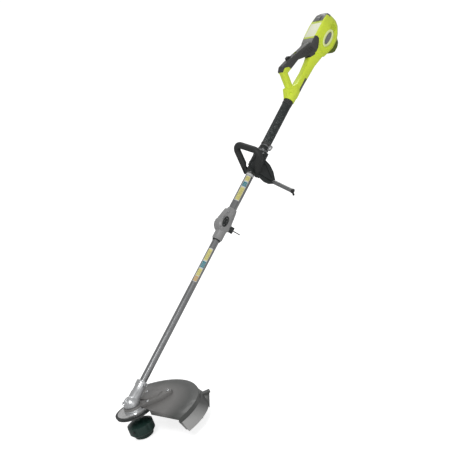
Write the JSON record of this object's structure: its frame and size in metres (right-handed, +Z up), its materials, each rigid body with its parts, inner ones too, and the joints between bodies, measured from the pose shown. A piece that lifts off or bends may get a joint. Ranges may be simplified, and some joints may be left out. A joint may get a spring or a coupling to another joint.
{
  "type": "string trimmer",
  "caption": "Two-piece straight-shaft battery string trimmer with a loop front handle, barrier bar, shaft coupler, bevel gear head, guard and bump-feed line head",
  "frame": {"origin": "centre of the harness eye's bore on the operator's left of the shaft", "axes": "+X level and toward the operator end, +Y to the operator's right, +Z up along the cutting head's spin axis; the shaft rises at 30 degrees from the head"},
  "size_m": [1.5448, 0.4098, 1.0151],
  "materials": {
    "lime": "satin",
    "dark": "moulded",
    "grey": "moulded",
    "pale": "moulded",
    "rubber": "soft grip",
    "steel": "bright",
    "tube": "satin",
    "cast": "cast",
    "polished": "polished",
    "brass": "plain",
    "copper": "wound",
    "line": "plain",
    "board": "lacquered"
  },
  "bodies": {
    "power_unit": {"left_housing": "lime", "right_housing": "lime", "grip_cover": "rubber", "foot_pad": "rubber", "housing_screws": "steel", "motor_stator": "steel", "upper_bearings": "steel", "motor_mounts": "grey", "trigger_switch": "dark", "control_board": "board", "terminal_block": "brass", "shaft_sleeve": "rubber", "upper_tube": "tube", "upper_bushes": "brass", "coupler_left": "grey", "coupler_right": "grey", "shaft_screws": "steel", "harness_eye": "steel"},
    "rotor": {"upper_drive_shaft": "steel", "motor_shaft": "steel", "rotor_core": "copper", "cooling_fan": "dark"},
    "trigger_lever": {"trigger": "grey"},
    "lock_off": {"lock_off_button": "dark"},
    "battery": {"battery_case": "dark", "battery_lid": "pale", "battery_cells": "steel"},
    "latch": {"battery_latch": "grey"},
    "front_handle": {"handle_loop": "steel", "handle_cover": "rubber", "clamp_upper": "dark", "clamp_lower": "dark", "clamp_bolts": "steel", "barrier_bracket": "dark", "barrier_bar": "tube", "barrier_end_cap": "dark"},
    "coupler_knob": {"clamp_knob": "dark"},
    "coupler_button": {"release_button": "dark"},
    "attachment": {"lower_tube": "tube", "lower_bushes": "brass", "gear_case": "cast", "gear_case_cap": "cast", "gear_bearings": "steel", "polished_plate": "polished", "collar_ring": "dark", "collar_base": "dark", "guard_roof": "grey", "guard_bracket": "grey", "guard_skirt": "grey", "guard_screws": "steel"},
    "lower_shaft": {"lower_drive_shaft": "steel"},
    "cutting_head": {"spindle": "steel", "driven_gear": "steel", "flange_washer": "steel", "head_housing": "dark", "line_eyelets": "brass", "spool": "dark", "wound_line": "line", "bump_spring": "steel"},
    "bump_button": {"bump_knob": "dark"}
  },
  "joints": [
    {"name": "trigger_pull", "type": "hinge", "parent": "power_unit", "child": "trigger_lever", "pos_m": [0.24146, 0.036, 0.23178], "axis": [0, -1, 0], "range_deg": [0, 8], "stiffness_Nm_per_rad": 0.6, "springref_deg": -11.46},
    {"name": "lock_off_press", "type": "slide", "parent": "power_unit", "child": "lock_off", "axis": [0.5, 0, -0.866], "range_m": [0, 0.0035], "stiffness_N_per_m": 900, "springref_m": -0.002},
    {"name": "battery_slide", "type": "slide", "parent": "power_unit", "child": "battery", "axis": [0.866, 0, 0.5], "range_m": [0, 0.17]},
    {"name": "latch_press", "type": "slide", "parent": "battery", "child": "latch", "axis": [0.5, 0, -0.866], "range_m": [0, 0.0022], "stiffness_N_per_m": 900, "springref_m": -0.002},
    {"name": "motor_spin", "type": "hinge", "parent": "power_unit", "child": "rotor", "pos_m": [0, 0.036, 0], "axis": [0.866, 0, 0.5], "continuous": true},
    {"name": "lower_drive_spin", "type": "hinge", "parent": "attachment", "child": "lower_shaft", "pos_m": [-0.58976, 0.036, -0.3405], "axis": [0.866, 0, 0.5], "continuous": true},
    {"name": "head_spin", "type": "hinge", "parent": "attachment", "child": "cutting_head", "pos_m": [-0.93617, 0.036, -0.5405], "axis": [0, 0, 1], "continuous": true},
    {"name": "bump_feed", "type": "slide", "parent": "cutting_head", "child": "bump_button", "axis": [0, 0, 1], "range_m": [0, 0.005], "stiffness_N_per_m": 1500, "springref_m": -0.004, "deforming": ["bump_spring"]},
    {"name": "front_handle_slide", "type": "slide", "parent": "power_unit", "child": "front_handle", "axis": [0.866, 0, 0.5], "range_m": [-0.1, 0.002]},
    {"name": "coupler_knob_turn", "type": "hinge", "parent": "power_unit", "child": "coupler_knob", "pos_m": [-0.29878, 0.036, -0.1725], "axis": [0.4455, -0.454, -0.7716], "range_deg": [0, 540]},
    {"name": "coupler_button_press", "type": "slide", "parent": "power_unit", "child": "coupler_button", "axis": [0, 1, 0], "range_m": [0, 0.0025], "stiffness_N_per_m": 900, "springref_m": -0.002},
    {"name": "attachment_slide", "type": "slide", "parent": "power_unit", "child": "attachment", "axis": [-0.866, 0, -0.5], "range_m": [0, 0.08]}
  ],
  "couplings": [
    {"joint": "lower_drive_spin", "follows": "motor_spin", "ratio": 1},
    {"joint": "head_spin", "follows": "motor_spin", "ratio": 0.73684}
  ]
}
